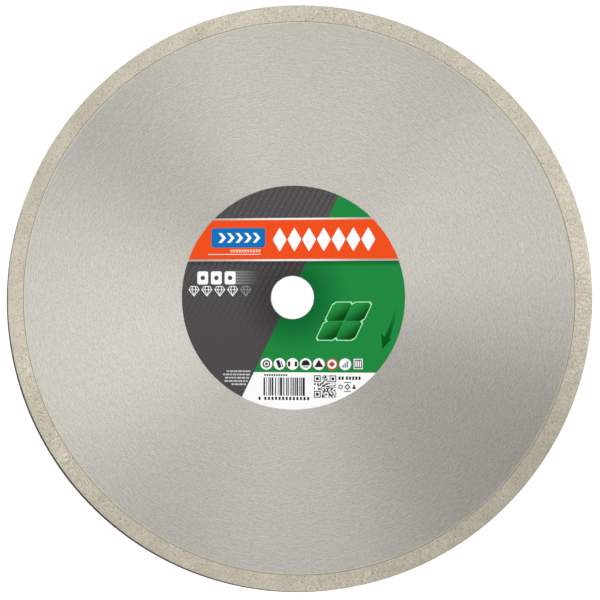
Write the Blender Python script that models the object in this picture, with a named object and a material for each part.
"""Continuous-rim diamond blade for tile and ceramic, lying flat with its label up.

Frame: metres, +Z is the blade's axis and points out of the labelled side, +Y is the top of the
label. The origin is on the bore's axis, in the plane that the rim's underside rests on.

Every piece is turned round the axis: a closed outline in the XZ plane is spun through a full turn.
"""

import math

import bmesh
import bpy

# Driving dimensions.
BLADE_DIAMETER = 0.350
BORE_DIAMETER = 0.0254
RIM_DEPTH = 0.010  # radial depth of the diamond layer
RIM_THICKNESS = 0.0030
CORE_THICKNESS = 0.0022  # thinner than the rim, so that the core clears the cut
SEAM_WIDTH = 0.0006  # radial room between core and rim that the solder fills
LABEL_DIAMETER = 0.1336
LABEL_HOLE_DIAMETER = 0.0260
LABEL_THICKNESS = 0.00015

# Edge breaks, measured along each face.
BORE_BREAK = 0.0002
RIM_OUTER_BREAK = 0.00025
RIM_INNER_BREAK = 0.0001

SEAM_RISE = 0.0002  # how far the solder's fillet climbs the rim's shoulder
SEAM_GAP = 0.0001  # clearance that keeps the seam's mesh off its two neighbours
LABEL_GAP = 0.00003  # clearance under the label's mesh

SEGMENTS = 120  # facets round each ring, a multiple of 4 so that the box is exact

# Places that follow from them.
MID_HEIGHT = RIM_THICKNESS / 2
CORE_BOTTOM = MID_HEIGHT - CORE_THICKNESS / 2
CORE_TOP = MID_HEIGHT + CORE_THICKNESS / 2
RIM_OUTER_RADIUS = BLADE_DIAMETER / 2
RIM_INNER_RADIUS = RIM_OUTER_RADIUS - RIM_DEPTH
CORE_RADIUS = RIM_INNER_RADIUS - SEAM_WIDTH


def clear_scene():
    for scene_object in list(bpy.data.objects):
        bpy.data.objects.remove(scene_object, do_unlink=True)


def finish(name, colour, roughness, metallic):
    """A material of one Principled BSDF with the finish's main values."""
    material = bpy.data.materials.new(name)
    material.use_nodes = True
    shader = material.node_tree.nodes["Principled BSDF"]
    shader.inputs["Base Color"].default_value = (*colour, 1.0)
    shader.inputs["Roughness"].default_value = roughness
    shader.inputs["Metallic"].default_value = metallic
    return material


def ring_outline(inner_radius, outer_radius, bottom, top, inner_break=0.0, outer_break=0.0):
    """The section of a flat ring, its corners broken at 45 degrees, as (radius, height) points."""
    points = [
        (inner_radius, bottom + inner_break),
        (inner_radius + inner_break, bottom),
        (outer_radius - outer_break, bottom),
        (outer_radius, bottom + outer_break),
        (outer_radius, top - outer_break),
        (outer_radius - outer_break, top),
        (inner_radius + inner_break, top),
        (inner_radius, top - inner_break),
    ]
    return list(dict.fromkeys(points))  # a corner with no break is one point, not two


def seam_outline():
    """The solder's section: flush with the core on its inner side, climbing the rim outside."""
    inner = CORE_RADIUS + SEAM_GAP
    outer = RIM_INNER_RADIUS - SEAM_GAP
    return [
        (inner, CORE_BOTTOM),
        (outer, CORE_BOTTOM - SEAM_RISE),
        (outer, CORE_TOP + SEAM_RISE),
        (inner, CORE_TOP),
    ]


def turned(name, outline, material):
    """A closed outline of (radius, height) points, spun round the Z axis into a solid ring."""
    shape = bmesh.new()
    points = [shape.verts.new((radius, 0.0, height)) for radius, height in outline]
    edges = [
        shape.edges.new((point, points[(i + 1) % len(points)])) for i, point in enumerate(points)
    ]
    bmesh.ops.spin(
        shape,
        geom=points + edges,
        cent=(0.0, 0.0, 0.0),
        axis=(0.0, 0.0, 1.0),
        angle=math.tau,
        steps=SEGMENTS,
        use_merge=True,
    )
    bmesh.ops.recalc_face_normals(shape, faces=shape.faces)
    mesh = bpy.data.meshes.new(name)
    shape.to_mesh(mesh)
    shape.free()
    mesh.shade_smooth()
    mesh.set_sharp_from_angle(angle=math.radians(30))
    mesh.materials.append(material)
    piece = bpy.data.objects.new(name, mesh)
    bpy.context.collection.objects.link(piece)
    return piece


def make_steel_core():
    outline = ring_outline(
        BORE_DIAMETER / 2, CORE_RADIUS, CORE_BOTTOM, CORE_TOP, inner_break=BORE_BREAK
    )
    return turned("steel_core", outline, finish("brushed_steel", (0.56, 0.55, 0.52), 0.38, 1.0))


def make_braze_seam():
    return turned("braze_seam", seam_outline(), finish("silver_solder", (0.42, 0.36, 0.27), 0.45, 1.0))


def make_diamond_rim():
    outline = ring_outline(
        RIM_INNER_RADIUS,
        RIM_OUTER_RADIUS,
        0.0,
        RIM_THICKNESS,
        inner_break=RIM_INNER_BREAK,
        outer_break=RIM_OUTER_BREAK,
    )
    return turned("diamond_rim", outline, finish("sintered_bond", (0.57, 0.52, 0.42), 0.6, 1.0))


def make_front_label():
    bottom = CORE_TOP + LABEL_GAP
    outline = ring_outline(
        LABEL_HOLE_DIAMETER / 2, LABEL_DIAMETER / 2, bottom, bottom + LABEL_THICKNESS
    )
    return turned("front_label", outline, finish("label_print", (0.08, 0.25, 0.09), 0.35, 0.0))


def main():
    clear_scene()
    make_steel_core()
    make_braze_seam()
    make_diamond_rim()
    make_front_label()


main()
